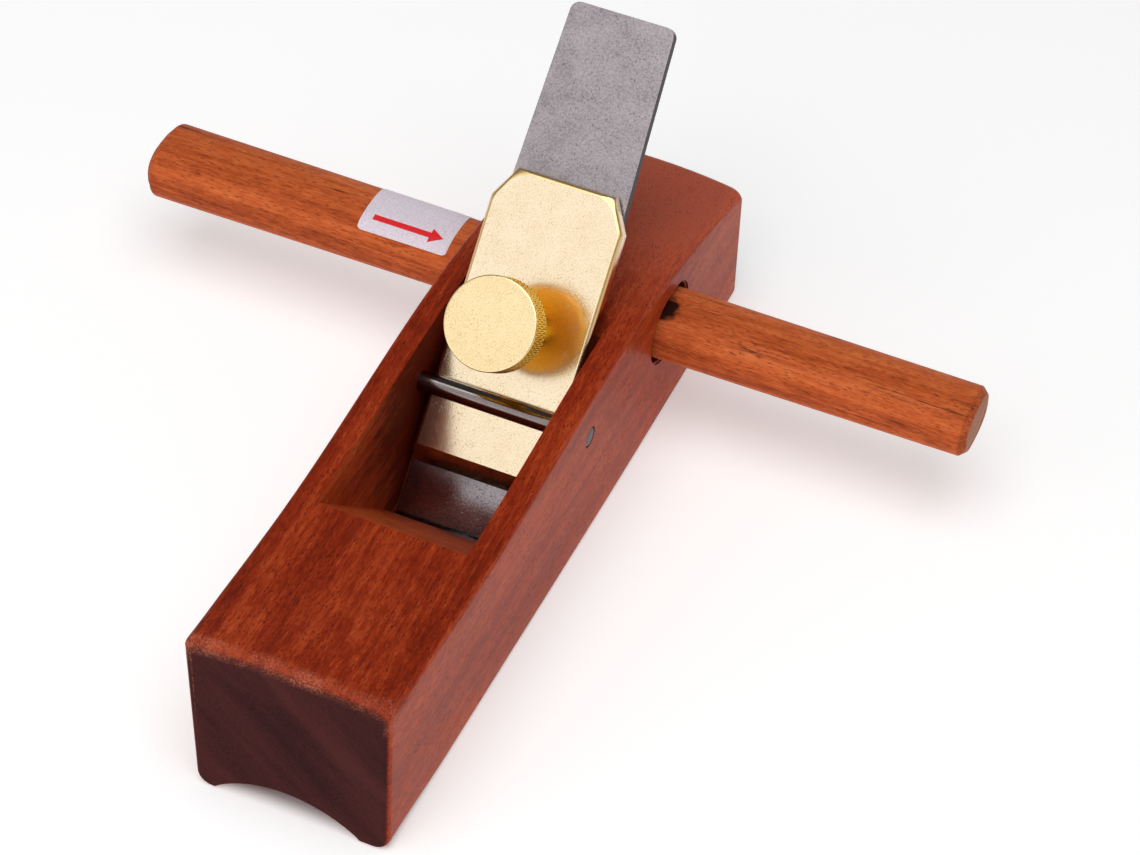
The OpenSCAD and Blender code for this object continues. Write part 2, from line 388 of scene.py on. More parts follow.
    waves = s.bump(s.noise(along(14, 40), detail=1.0), 0.12)
    grain = s.minus(s.times(fibre, 0.35), open_pores)
    s.set("Normal", s.bump(grain, 0.06, 0.8, waves))
    return s.material


def metal(name, tones, tint, roughness, cloud=0.2, pits=0.5, fine=0.35, drawn=None, pit_size=0.6,
          bump_mm=0.006, groove_painted_light=None, groove_rough=0.0, smooth_below=None, dull_ends=None):
    """Metal with fine grain, soft clouds and scattered pits of a darker tint.

    tones are its dark, middle and light reflectance. drawn sizes add lines of its working. groove_painted_light
    is a painted colour where the mesh's "groove" attribute is high: painted shade in the knob's knurl grooves
    and a painted reflection on the cap's rim band; groove_rough is how much rougher it is there.
    smooth_below is a height in millimetres under which the metal was ground smoother, and the roughness
    there. dull_ends is the colour of faces square to X."""
    s = Shader(name, Metallic=1.0)
    clouds = s.noise((7, 7, 7), detail=3.0, rough=0.6)
    grain = s.noise((fine, fine, fine), detail=2.0, rough=0.75)
    pit = s.spots((pit_size,) * 3, 0.12, 0.34)
    pit = s.times(pit, s.span(s.noise((2.6, 2.6, 2.6), detail=3.0, rough=0.6), 0.44, 0.64))
    tone = s.plus(s.times(clouds, cloud), s.times(grain, 1 - cloud))
    if drawn:
        tone = s.plus(s.times(tone, 0.6), s.times(s.noise(drawn, detail=3.0), 0.4))
    dark, middle, light = ((*tone_colour, 1) for tone_colour in tones)
    colour = s.ramp(tone, (0.34, dark), (0.5, middle), (0.66, light))
    colour = s.mix(s.times(pit, pits), colour, (*tint, 1))
    rough = s.plus(roughness, s.times(s.minus(tone, 0.5), 0.15))
    if smooth_below:
        limit, smooth = smooth_below
        height = s.times(s.part(s.place, 2), 1 / MM)
        rough = s.minus(rough, s.span(height, limit + 12, limit, 0.0, roughness - smooth))
    rough = s.plus(rough, s.times(pit, 0.06))
    if dull_ends is not None:
        end = s.span(s.math("ABSOLUTE", s.part(s.facing, 0)), 0.7, 0.95)
        colour = s.mix(end, colour, (*dull_ends, 1))
        rough = s.plus(rough, s.times(end, 0.3))
    # Painted light where the mesh's groove attribute is high: painted shade in the knob's knurl grooves, a
    # painted reflection on the cap's rim band.
    if groove_painted_light is not None:
        groove = s.span(s.attribute("groove"), 0.1, 0.8)
        colour = s.mix(groove, colour, (*groove_painted_light, 1))
        rough = s.plus(rough, s.times(groove, groove_rough))
    s.set("Base Color", colour)
    s.set("Roughness", s.math("MAXIMUM", rough, 0.08))
    s.set("Normal", s.bump(s.minus(s.times(grain, 0.6), pit), bump_mm))
    return s.material


# ---------------------------------------------------------------- plane body

SOLE_RADIUS, SOLE_DEPTH, SOLE_OFFSET = 32.5, 8.5, -1.5
TOE, HEEL = box_mm("plane_body")[0][1], box_mm("plane_body")[1][1]
HALF_WIDTH = box_mm("plane_body")[1][0]
TOE_HEIGHT, WAIST_HEIGHT, CREST_HEIGHT, HEEL_HEIGHT = box_mm("plane_body")[1][2], 54.4, 58.8, 45.0
WAIST, CREST = -62.0, 27.0
THROAT_HALF, THROAT_FRONT = 23.0, -60.8
RAMP_FOOT, RAMP_FOOT_HEIGHT, MOUTH_FRONT = -18.2, 10.5, -24.2
BED_CHAMFER, SLIP = 5.0, 0.3
IRON_PROJECTION = 0.8
MORTISE_RADIUS, MORTISE_STRAIGHT = 10.75, 2.75
BED_SLOPE = UP_BED.z / UP_BED.y


def top_at(y):
    """Height of the top's edges at place y: down from toe to waist, up to the crest, down to the heel."""
    if y < WAIST:
        turn = math.pi / 2 * (y - TOE) / (WAIST - TOE)
        return WAIST_HEIGHT + (TOE_HEIGHT - WAIST_HEIGHT) * (1 - math.sin(turn))
    if y < CREST:
        turn = math.pi * (y - WAIST) / (CREST - WAIST)
        return WAIST_HEIGHT + (CREST_HEIGHT - WAIST_HEIGHT) * (1 - math.cos(turn)) / 2
    turn = math.pi / 2 * (y - CREST) / (HEEL - CREST)
    return CREST_HEIGHT - (CREST_HEIGHT - HEEL_HEIGHT) * (1 - math.cos(turn))


def bed_at(height):
    """Place along the body of the bed's surface at a height."""
    return BED_FOOT.y / MM + height / BED_SLOPE + SLIP / UP_BED.z


def near_toe(y, reach):
    """0 along the body, rising smoothly to 1 at the toe."""
    return float(smooth_step(1 - (y - TOE) / reach))


def near_heel(y, reach):
    """0 along the body, rising smoothly to 1 at the heel."""
    return float(smooth_step(1 - (HEEL - y) / reach))


def fillet(before, corner, after, radius, steps):
    """Points of an arc that rounds a corner."""
    to_before, to_after = (before - corner).normalized(), (after - corner).normalized()
    half = to_before.angle(to_after) / 2
    centre = corner + (to_before + to_after).normalized() * radius / math.sin(half)
    start = corner + to_before * radius / math.tan(half) - centre
    end = corner + to_after * radius / math.tan(half) - centre
    turn = start.angle_signed(end)
    points = []
    for i in range(steps + 1):
        angle = -turn * i / steps
        points.append(centre + Vector((start.x * math.cos(angle) - start.y * math.sin(angle),
                                       start.x * math.sin(angle) + start.y * math.cos(angle))))
    return points


def between(first, last, shares):
    """Points at shares of the way from first to last."""
    return [first.lerp(last, share) for share in shares]


def body_section(y):
    """Outline of the body at place y, anticlockwise seen from the toe, with a fixed count of points."""
    top = top_at(y)
    ends = near_toe(y, 26) + near_heel(y, 26)
    below = 2.2 + 2.6 * near_toe(y, 40)
    half_arc = math.acos((SOLE_RADIUS - SOLE_DEPTH) / SOLE_RADIUS)
    drop = SOLE_RADIUS - SOLE_DEPTH

    def on_arc(angle):
        return Vector((SOLE_OFFSET + SOLE_RADIUS * math.sin(angle), SOLE_RADIUS * math.cos(angle) - drop))

    def crowned(x):
        return Vector((x, crown_at(x, y)))

    left, right = Vector((-HALF_WIDTH, 0)), Vector((HALF_WIDTH, 0))
    top_left, top_right = crowned(-HALF_WIDTH), crowned(HALF_WIDTH)
    lip_left, lip_right = on_arc(-half_arc), on_arc(half_arc)
    corner_right = fillet(lip_right, right, top_right, below, 6)
    corner_left = fillet(top_left, left, lip_left, below, 6)
    shoulder_right = fillet(right, top_right, crowned(HALF_WIDTH - 8), 2.4 + 2.4 * ends, 8)
    shoulder_left = fillet(crowned(8 - HALF_WIDTH), top_left, left, 1.3 + 1.2 * ends, 8)
    flat = shoulder_right[-1].x
    points = between(lip_right, corner_right[0], (0.0, 0.5)) + corner_right
    points += between(corner_right[-1], shoulder_right[0], (0.15, 0.4, 0.65, 0.88)) + shoulder_right
    points += [crowned(flat * share) for share in (0.935, 0.76, 0.52, 0.26, 0.0, -0.26, -0.52, -0.76, -0.935)]
    points += shoulder_left
    points += between(shoulder_left[-1], corner_left[0], (0.12, 0.35, 0.6, 0.85)) + corner_left
    points += between(corner_left[-1], lip_left, (0.5, 1.0))
    points += [on_arc(half_arc * share) for share in np.linspace(-0.92, 0.92, 23)]
    points = np.array(points)
    lean = 1.2 * near_toe(y, 170) * (1 - points[:, 1] / top)
    outer = np.abs(points[:, 0]) > 25.5
    points[outer, 0] -= (np.sign(points[:, 0]) * lean)[outer]
    return points


def crown_at(x, y):
    """Height of the body's gently arched top at (x, y)."""
    arch = 0.5 + 1.4 * near_toe(y, 50) + 2.4 * near_heel(y, 60)
    return top_at(y) + 0.4 * (arch - 0.5) - arch * (x / HALF_WIDTH) ** 2


def end_radius(up, on_top):
    """Rounding of an end by how far up the outline faces: most on top, less at the sides, little below."""
    at_sides, below = 2.0, 1.2
    return at_sides + (on_top - at_sides) * max(up, 0.0) - (at_sides - below) * max(-up, 0.0)


def outward_of(section):
    """Outward directions at the points of a closed outline."""
    step = np.roll(section, -1, 0) - np.roll(section, 1, 0)
    outward = np.stack([step[:, 1], -step[:, 0]], 1)
    return outward / np.linalg.norm(outward, axis=1)[:, None]


def body_rings():
    """Rings of points from the toe to the heel; both ends are rounded over and stop at a flat face."""
    bed_back = bed_at(top_at(bed_at(CREST_HEIGHT))) + BED_CHAMFER
    stretches = ((TOE + 6.5, THROAT_FRONT - 1.8, 15), (THROAT_FRONT + 1.8, bed_back - 2.2, 24),
                 (bed_back + 2.2, HEEL - 6.5, 20))
    places = np.concatenate([np.linspace(*stretch) for stretch in stretches])
    rings = [np.insert(body_section(y), 1, y, axis=1) for y in places]

    def rounded(end, inward, on_top):
        made = []
        outward = outward_of(body_section(end))
        for angle in np.linspace(0, math.pi / 2, 8):
            ring = []
            for j, way in enumerate(outward):
                radius = end_radius(way[1], on_top)
                y = end + inward * radius * (1 - math.sin(angle))
                x, z = body_section(y)[j] - way * radius * (1 - math.cos(angle))
                ring.append((x, y, z))
            made.append(np.array(ring))
        return made

    return rounded(TOE, 1, 4.6)[::-1] + rings + rounded(HEEL, -1, 3.6)


def build_body(finish, raw):
    """The body with its throat, mortise and pin bore cut."""
    body = loft("plane_body_block", body_rings())
    bed_top = top_at(bed_at(CREST_HEIGHT))
    above = CREST_HEIGHT + 10
    below = -10
    back = bed_at(bed_top) + BED_CHAMFER
    throat = [(THROAT_FRONT, above), (THROAT_FRONT, top_at(THROAT_FRONT)), (RAMP_FOOT, RAMP_FOOT_HEIGHT),
              (MOUTH_FRONT, 0), (MOUTH_FRONT, below), (bed_at(below), below),
              (bed_at(bed_top - BED_CHAMFER), bed_top - BED_CHAMFER), (back, bed_top), (back, above)]
    cut(body, prism("throat", throat, -THROAT_HALF, THROAT_HALF, "x"))

    low, high = box_mm("cross_handle")
    across, middle = (low[1] + high[1]) / 2, (low[2] + high[2]) / 2
    angles = np.radians(np.arange(0, 360, 5) + 2.5)
    rings = []
    for x, flare in ((-40, 0.7), (-30, 0.7), (-29.9, 0.42), (-29.7, 0.2), (-29.3, 0.0), (0, 0.0),
                     (29.3, 0.0), (29.7, 0.2), (29.9, 0.42), (30, 0.7), (40, 0.7)):
        radius = MORTISE_RADIUS + flare
        rings.append(np.array([(x, across + radius * math.cos(a) + math.copysign(MORTISE_STRAIGHT, math.cos(a)),
                                middle + radius * math.sin(a)) for a in angles]))
    cut(body, loft("mortise", rings))

    pin_low, pin_high = box_mm("cross_pin")
    radius = (pin_high[2] - pin_low[2]) / 2
    angles = np.radians(np.arange(0, 360, 9) + 1)
    bore = []
    for x, flare in ((-40, 0.25), (-30, 0.25), (-29.6, 0.0), (29.6, 0.0), (30, 0.25), (40, 0.25)):
        wide = radius + flare
        bore.append(np.array([(x, PIN.y / MM + wide * math.cos(a), PIN.z / MM + wide * math.sin(a))
                              for a in angles]))
    cut(body, loft("bore", bore))

    soften(body, lambda p: p.z > top_at(p.y) - 1.6 and abs(p.x) < THROAT_HALF + 0.1
           and THROAT_FRONT - 0.1 < p.y < back + 0.1, 0.55)
    mark_faces(body, across, middle)
    shade(body)
    settle(body, "body", "plane_body", "body_wood", finish, raw)


def mark_faces(body, across, middle):
    """Gives the throat and the mortise the raw wood, and stores how worn each place is, partly as a painted
    highlight at the toe.
    """
    mesh = body.data
    for face in mesh.polygons:
        centre, normal = face.center / MM, face.normal
        in_throat = abs(centre.x) < THROAT_HALF + 0.05 and THROAT_FRONT - 0.05 < centre.y < 45 and (
            abs(normal.x) > 0.9 or abs(normal.y) > 0.5) and centre.z < top_at(centre.y) - 0.3
        in_mortise = abs(centre.x) < HALF_WIDTH - 0.2 and abs(normal.x) < 0.5 and (
            math.hypot(centre.y - across, centre.z - middle) < MORTISE_RADIUS + MORTISE_STRAIGHT + 1)
        face.material_index = int(in_throat or in_mortise)
    # edge holds wear that is partly a painted highlight: along the toe's top edge and at its top right corner.
    edge = mesh.attributes.new("edge", "FLOAT", "POINT")
    worn_highlight_corner = (HALF_WIDTH - 1.5, TOE + 1.5, crown_at(HALF_WIDTH, TOE) - 1.5)
    worn = []
    for vertex in mesh.vertices:
        x, y, z = vertex.co / MM
        top = max(0.0, 1 - (crown_at(x, y) - z) / 4.4)
        toe = max(0.0, 1 - (y - TOE) / 5.0)
        corner = max(0.0, 1 - math.dist((x, y, z), worn_highlight_corner) / 6) if y > TOE + 0.01 else 0.0
        worn.append(float(smooth_step(max(toe * top * 2.4, corner * 1.6))))
    edge.data.foreach_set("value", worn)


# ---------------------------------------------------------------- round pieces

def lathe(name, profile, around, placing):
    """A closed turned solid: profile is (radius, height) pairs in millimetres from one end to the other."""
    angles = np.linspace(0, 2 * math.pi, around, endpoint=False)
    rings = [np.stack([r * np.cos(angles), r * np.sin(angles), np.full(around, h)], 1) for r, h in profile]
    return loft(name, rings, placing)


def build_pin(steel):
    """The steel cross pin with eased ends."""
    low, high = box_mm("cross_pin")
    radius, half = (high[2] - low[2]) / 2, high[0]
    ease = [(radius - 0.45 * (1 - math.sin(a)), half - 0.1 - 0.45 * (1 - math.cos(a)))
            for a in np.linspace(math.pi / 2, 0, 5)]
    one_end = [(0.05, half), (radius * 0.6, half - 0.03)] + sorted(ease, key=lambda p: p[0])
    length = [(radius, h) for h in np.linspace(half - 2, -half + 2, 13)]
    profile = one_end + length + [(r, -h) for r, h in reversed(one_end)]
    placing = Matrix.Translation(PIN) @ Matrix.Rotation(math.pi / 2, 4, "Y")
    pin = lathe("cross_pin_rod", profile, 48, placing)
    shade(pin)
    settle(pin, "body", "cross_pin", "pin_steel", steel)


def screw_placing():
    """Placing of the thumb screw: on the bed's frame, at the screw's place up the bed."""
    return BED @ Matrix.Translation((0, (BED.inverted() @ SCREW).y, 0))


def build_stud(brass, pitch=1.25):
    """The stud with its thread cut as one helix."""
    low, high = bed_box("thumb_screw_stud")
    radius = (high[0] - low[0]) / 2
    around, rows = 40, int((high[2] - low[2]) / pitch * 8)
    angles = np.linspace(0, 2 * math.pi, around, endpoint=False)
    rings = []
    for h in np.linspace(low[2], high[2], rows):
        phase = (h / pitch - angles / (2 * math.pi)) % 1.0
        depth = 0.68 * np.abs(phase - 0.5) * 2
        taper = 0.8 * max(0.0, 1 - (h - low[2]) / 0.8)
        r = np.minimum(radius - depth * 0.85, radius - taper)
        rings.append(np.stack([r * np.cos(angles), r * np.sin(angles), np.full(around, h)], 1))
    stud = loft("thumb_screw_thread", rings, screw_placing())
    shade(stud, 60)
    settle(stud, "stud", "thumb_screw_stud", "stud_brass", brass)


def build_knob(brass, rim_brass_painted_reflection, under_brass_painted_reflection):
    """The knob: a turned disc with a diamond knurl round its rim and a blind hole for the stud.

    Its rim and its underside have brasses of their own, a deep orange that is painted reflection of brass seen
    in brass."""
    low, high = bed_box("thumb_screw_knob")
    stud_low, stud_high = bed_box("thumb_screw_stud")
    radius, start, end = (high[0] - low[0]) / 2, low[2], high[2]
    hole = (stud_high[0] - stud_low[0]) / 2 + 0.05
    teeth, samples, depth = 66, 8, 0.5
    around = teeth * samples
    angles = np.linspace(0, 2 * math.pi, around, endpoint=False)

    def ring(r, h):
        return np.stack([r * np.cos(angles), r * np.sin(angles), np.full(around, h)], 1)

    rings = [ring(hole * share, stud_high[2] + 0.3) for share in (0.3, 1.0)]
    rings += [ring(hole, start + 0.5), ring(hole + 0.5, start)]
    rings += [ring(radius - 1.2, start), ring(radius - 0.85, start + 0.12)]
    for h in np.linspace(start + 0.75, end - 0.5, 52):
        turn, rise = angles * teeth / (2 * math.pi), h / 1.25
        first, second = np.abs(((turn + rise) % 1) - 0.5) * 2, np.abs(((turn - rise) % 1) - 0.5) * 2
        crest = np.minimum(1 - first, 1 - second)
        ends = smooth_step(min(h - start - 0.55, end - 0.4 - h) / 0.4)
        rings.append(ring(radius - depth * ends * (1 - np.clip(crest * 2.0, 0, 1)) - 0.02, h))
    ease = 0.4
    for angle in np.linspace(0.15, math.pi / 2, 6):
        rings.append(ring(radius - ease * (1 - math.cos(angle)) - 0.02, end - ease * (1 - math.sin(angle))))
    rings += [ring(radius * share, end - 0.03 * (1 - share)) for share in (0.9, 0.72, 0.5, 0.25, 0.1)]
    knob = loft("thumb_screw_head", rings, screw_placing())
    back, axis = BED.inverted(), BED.inverted() @ SCREW
    reach = [math.hypot(*((back @ vertex.co - axis) / MM)[:2]) for vertex in knob.data.vertices]
    # groove is how deep a place lies in the knurl; the grooves get painted shade.
    groove = knob.data.attributes.new("groove", "FLOAT", "POINT")
    groove.data.foreach_set("value", [max(radius - r, 0.0) / depth if r > radius - depth - 0.05 else 0.0
                                      for r in reach])
    shade(knob, 50)
    heights = [(back @ face.center / MM).z for face in knob.data.polygons]
    settle(knob, "knob", "thumb_screw_knob", "knob_brass", brass, rim_brass_painted_reflection, under_brass_painted_reflection)
    # The rim and the underside get deep orange brasses: painted reflection of brass in brass.
    for face, height in zip(knob.data.polygons, heights):
        face.material_index = 2 if height < start + 0.6 else 1 if height < end - 0.15 else 0


# ---------------------------------------------------------------- flat pieces on the bed

def build_iron(steel):
    """The iron, cut to the sole's hollow and ground at its edge, with rounded top corners."""
    high = bed_box("plane_iron")[1]
    top, thick = high[1], high[2]
    top_half, low_half, corner = 16.2, high[0], 3.0
    centre = (top_half - corner, top - corner)
    right = [(centre[0] + corner * math.cos(a), centre[1] + corner * math.sin(a))
             for a in np.linspace(0, math.pi / 2, 9)]
    outline = [(-low_half - 0.3, -10), (low_half + 0.3, -10)] + right + [(-x, y) for x, y in reversed(right)]
    iron = prism("plane_iron_blade", outline, 0.0, thick, "z", BED)

    half = HEEL - TOE
    angles = np.radians(np.arange(0, 360, 2) + 1)
    drop = SOLE_RADIUS - SOLE_DEPTH + IRON_PROJECTION
    hollow = [(SOLE_OFFSET + SOLE_RADIUS * math.cos(a), SOLE_RADIUS * math.sin(a) - drop) for a in angles]
    cut(iron, loft("hollow", [np.array([(x, y, z) for x, z in hollow]) for y in (-half, half)]))
    cut(iron, prism("below", [(-60, -40), (60, -40), (60, 0), (-60, 0)], -60, 60, "x"))

    slope, edge_flat = math.radians(28), 0.1
    bed_angle = math.atan(BED_SLOPE)
    edge_middle = (SOLE_DEPTH - IRON_PROJECTION) / math.sin(bed_angle) - thick / math.tan(bed_angle)
    edge_corner = -thick / math.tan(bed_angle)
    sagitta = (edge_middle - edge_corner) * math.sin(slope)
    radius = (low_half ** 2 + sagitta ** 2) / (2 * sagitta)
    grinder = [(radius * math.cos(a), radius * math.sin(a) - radius) for a in angles]
    rings = [np.array([(x, y, z) for x, z in grinder]) for y in (-11, 11)]
    at_edge = Matrix.Translation((SOLE_OFFSET * MM, edge_middle * MM, (thick - edge_flat) * MM))
    placing = BED @ at_edge @ Matrix.Rotation(-slope, 4, "X")
    cut(iron, loft("grinder", rings, placing))
    soften(iron, lambda p: p.z > 16, 0.28, 2)
    shade(iron)
    settle(iron, "iron", "plane_iron", "iron_steel", steel)


def inset(corners, distance):
    """Corners of an anticlockwise convex outline whose edges are all moved inward."""
    moved = []
    for before, corner, after in zip(corners[-1:] + corners[:-1], corners, corners[1:] + corners[:1]):
        first, second = (corner - before).normalized(), (after - corner).normalized()
        inward = Vector((-first.y, first.x)) + Vector((-second.y, second.x))
        moved.append(corner + inward * distance / (1 + first.dot(second)))
    return moved


def build_cap(brass):
    """The lever cap: its outer edge keeps its corners, and the worn rim of its face runs round them."""
    low, high = bed_box("lever_cap")
    nose, top, pad, face = low[1], high[1], low[2], high[2]
    half, top_half, corner_length = high[0], 15.2, 9.6
    corners = [Vector(corner) for corner in (
        (-half, nose), (half, nose), (half, top - corner_length),
        (top_half, top), (-top_half, top), (-half, top - corner_length))]

    def outline(distance, radii, height):
        moved = inset(corners, distance)
        ring = []
        for before, corner, after, radius in zip(moved[-1:] + moved[:-1], moved, moved[1:] + moved[:1], radii):
            ring += [(p.x, p.y, height) for p in fillet(before, corner, after, radius, 8)]
        return np.array(ring)

    sharp, worn = (0.1, 0.1, 0.35, 0.35, 0.35, 0.35), (0.3, 0.3, 9.0, 9.0, 9.0, 9.0)
    rings = [outline(0.3, sharp, pad), outline(0.0, sharp, pad + 0.3), outline(0.0, sharp, face - 1.3)]
    for turn in np.linspace(0, 1, 6):
        radii = [first + (last - first) * turn for first, last in zip((0.1, 0.1, 1.0, 1.0, 1.0, 1.0), worn)]
        angle = turn * math.pi / 2
        rings.append(outline(0.08 + 1.25 * (1 - math.cos(angle)), radii, face - 1.1 * (1 - math.sin(angle))))
    cap = loft("lever_cap_plate", rings, BED)
    crest, over = nose + 5.2, 5
    slope = [(crest, face), (crest, face + over), (nose - over, face + over), (nose - over, pad + 1),
             (nose, pad + 1)]
    cut(cap, prism("nose_slope", slope, -half - over, half + over, "x", BED))
    relief = [(nose + 5, pad - over), (nose + 5, pad), (nose + 6, pad + 1), (top + over, pad + 1),
              (top + over, pad - over)]
    cut(cap, prism("relief", relief, -half - over, half + over, "x", BED))
    stud_low, stud_high = bed_box("thumb_screw_stud")
    radius = (stud_high[0] - stud_low[0]) / 2 + 0.05
    screw = (BED.inverted() @ SCREW).y / MM
    hole = [(radius * math.cos(a), screw + radius * math.sin(a)) for a in np.radians(np.arange(0, 360, 7.5))]
    cut(cap, prism("hole", hole, 0, 20, "z", BED))
    back = BED.inverted()

    def nose_crest(point):
        _, up_bed, height = back @ (point * MM) / MM
        return abs(up_bed - crest) < 0.1 and height > face - 0.2

    soften(cap, nose_crest, 0.4, 2, sharp=20)
    places = [back @ vertex.co / MM for vertex in cap.data.vertices]
    # groove marks the rim band of the face, which gets a painted reflection colour.
    groove = cap.data.attributes.new("groove", "FLOAT", "POINT")
    groove.data.foreach_set("value", [float(place.y > crest + 0.3 and face - 1.2 < place.z < face - 0.05)
                                      for place in places])
    shade(cap)
    settle(cap, "cap", "lever_cap", "cap_brass", brass)


# ---------------------------------------------------------------- handle and label

SQUARENESS = 2.6


def handle_size(x):
    """Half width and half height of the bar at place x, which tapers from its left end to its right end."""
    low, high = box_mm("cross_handle")
    share = (x - low[0]) / (high[0] - low[0])
    left, right = (12.6, 9.55), (11.3, 8.55)
    return left[0] + (right[0] - left[0]) * share, left[1] + (right[1] - left[1]) * share


def bar_point(x, angle, grow=0.0, inset=0.0):
    """A point of the bar's section, a superellipse of power SQUARENESS, grown or inset all round."""
    low, high = box_mm("cross_handle")
    across, middle = (low[1] + high[1]) / 2, (low[2] + high[2]) / 2
    a, b = handle_size(x)
    a, b = a - inset, b - inset
    c, s = math.cos(angle), math.sin(angle)
    y = a * math.copysign(abs(c) ** (2 / SQUARENESS), c)
    z = b * math.copysign(abs(s) ** (2 / SQUARENESS), s)
    if grow:
        outward = Vector((abs(y / a) ** (SQUARENESS - 1) * math.copysign(1 / a, y),
                          abs(z / b) ** (SQUARENESS - 1) * math.copysign(1 / b, z))).normalized()
        y, z = y + grow * outward.x, z + grow * outward.y
    return (x, across + y, middle + z)


def build_handle(finish):
    """The tapered bar with a rounded left end and a chamfered right end."""
    low, high = box_mm("cross_handle")
    angles = np.linspace(0, 2 * math.pi, 72, endpoint=False)
    rings = []
    for share in (0.12, 0.45, 0.75):
        rings.append([bar_point(low[0] + 1.6 * share ** 2, a, inset=(1 - share) * 9.4) for a in angles])
    for turn in np.linspace(0, math.pi / 2, 7):
        x, inset = low[0] + 1.6 + 2.2 * (1 - math.cos(turn)), 2.4 * (1 - math.sin(turn))
        rings.append([bar_point(x, a, inset=inset) for a in angles])
    for x in np.linspace(low[0] + 8, high[0] - 6, 50):
        rings.append([bar_point(x, a) for a in angles])
    for from_end, inset in ((2.3, 0.0), (2.0, 0.1), (0.35, 1.5), (0.08, 1.8), (0.0, 2.2)):
        rings.append([bar_point(high[0] - from_end, a, inset=inset) for a in angles])
    handle = loft("cross_handle_bar", [np.array(ring) for ring in rings])
    edge = handle.data.attributes.new("edge", "FLOAT", "POINT")
    places = [vertex.co.x / MM for vertex in handle.data.vertices]
    edge.data.foreach_set("value", [0.9 if high[0] - 2.2 < x < high[0] - 0.2
                                    else float(smooth_step(1 - (x - low[0]) / 5)) * 0.5 for x in places])
    shade(handle, 40)
    settle(handle, "handle", "cross_handle", "handle_wood", finish)


def build_label():
    """The paper label: a thin sheet that follows the bar, with rounded corners and a map for its arrow."""
    low, high = box_mm("direction_label")
    angles = np.radians(np.linspace(0, 360, 2881))
    middle_x = (low[0] + high[0]) / 2
    heights = np.array([bar_point(middle_x, a)[2] for a in angles])
    upper = angles[(heights > low[2] + 0.05) & (angles < math.pi)]
    first, last = upper.max(), upper.min()
    columns, rows, corner = 48, 40, 1.2
    lines = np.array([bar_point(middle_x, a) for a in np.linspace(first, last, 400)])
    travel = np.concatenate([[0], np.cumsum(np.linalg.norm(np.diff(lines[:, 1:], axis=0), axis=1))])
    width, length = travel[-1], high[0] - low[0]

    def angle_at(distance):
        return float(np.interp(distance, travel, np.linspace(first, last, 400)))

    points, uvs = [], []
    for grow in (0.06, 0.19):
        for r in range(rows + 1):
            v = width * r / rows
            for c in range(columns + 1):
                within = min(max(corner - min(v, width - v), 0.0), corner)
                pull = corner - math.sqrt(corner ** 2 - within ** 2)
                x = pull + (length - 2 * pull) * c / columns
                points.append(bar_point(low[0] + x, angle_at(v), grow=grow))
                uvs.append((x, v))
    across = columns + 1
    sheet = (rows + 1) * across
    faces = []
    for side in (0, sheet):
        starts = [side + r * across + c for r in range(rows) for c in range(columns)]
        faces += [(start, start + 1, start + across + 1, start + across) for start in starts]
    rim = [(0, c) for c in range(columns)] + [(r, columns) for r in range(rows)]
    rim += [(rows, c) for c in range(columns, 0, -1)] + [(r, 0) for r in range(rows, 0, -1)]
    ids = [r * across + c for r, c in rim]
    faces += [(a, b, b + sheet, a + sheet) for a, b in zip(ids, ids[1:] + ids[:1])]
    label = new_object("direction_label_sheet", points, faces)
    for name, column in (("along", 0), ("over", 1)):
        data = label.data.attributes.new(name, "FLOAT", "POINT")
        data.data.foreach_set("value", [uv[column] for uv in uvs])
    shade(label, 50)
    settle(label, "handle", "direction_label", "label_paper", label_paper(width, length))


# ---------------------------------------------------------------- the materials used

# The finished body wood has painted light: a painted sheen on its sides, towards the heel and in pink on its
# top, and its worn colour is partly a painted highlight at the toe.
body_finish = wood(
    "body_wood_finished", 1, (rgb(74, 18, 9), rgb(140, 44, 19), rgb(186, 78, 38)),
    (rgb(52, 26, 26), rgb(76, 38, 37)), rgb(40, 10, 8), 0.34, 0.35, worn=rgb(178, 100, 76),
    sides=(0, 0.6, 0.95, 0.06), light_fade=(40, 100, 0.20, 0.1), painted_sheen=(35, 95, rgb(172, 94, 84), 0.40))
# The cut wood gets painted shade: darker deeper in the throat and in the mortise.
body_raw = wood(
    "body_wood_cut", 1, (rgb(106, 34, 14), rgb(190, 78, 36), rgb(216, 114, 60)),
    (rgb(60, 26, 18), rgb(88, 44, 30)), rgb(44, 15, 10), 0.55, 0.2, pores=0.7, light_fade=(-45, 5, -0.22, 1.0))
# The bar's faces that look sideways are darker: painted shade.
handle_finish = wood(
    "handle_wood_oiled", 0, (rgb(124, 46, 20), rgb(194, 92, 47), rgb(222, 124, 70)),
    (rgb(150, 96, 76), rgb(186, 136, 114)), rgb(48, 17, 12), 0.42, 0.3, pores=0.85, worn=rgb(104, 48, 28),
    dark_lines=0.65, sides=(2, 0.45, 0.2, -0.07), burn=((0.0300, 0.0618, 0.0458), 4.0))
# The cap's rim band gets a deeper gold-brown, a painted reflection standing in for light that it catches.
cap_brass = metal(
    "brass_polished", ((0.74, 0.56, 0.34), (0.86, 0.71, 0.50), (0.90, 0.77, 0.58)), (0.36, 0.20, 0.06), 0.145,
    pits=0.75, pit_size=0.6, bump_mm=0.013, groove_painted_light=(0.80, 0.56, 0.26), groove_rough=0.18)
knob_brass = metal(
    "brass_knob_face", ((0.74, 0.54, 0.26), (0.86, 0.68, 0.39), (0.90, 0.74, 0.45)), (0.36, 0.21, 0.06), 0.2,
    pits=0.75)
# The knurled rim: a deep orange that is painted reflection of brass in brass, with painted shade in its
# grooves.
rim_brass_painted_reflection = metal(
    "brass_knurled_painted_reflection", ((0.86, 0.42, 0.03), (0.94, 0.52, 0.05), (0.98, 0.60, 0.09)), (0.4, 0.2, 0.03), 0.24,
    groove_painted_light=(0.08, 0.026, 0.004))
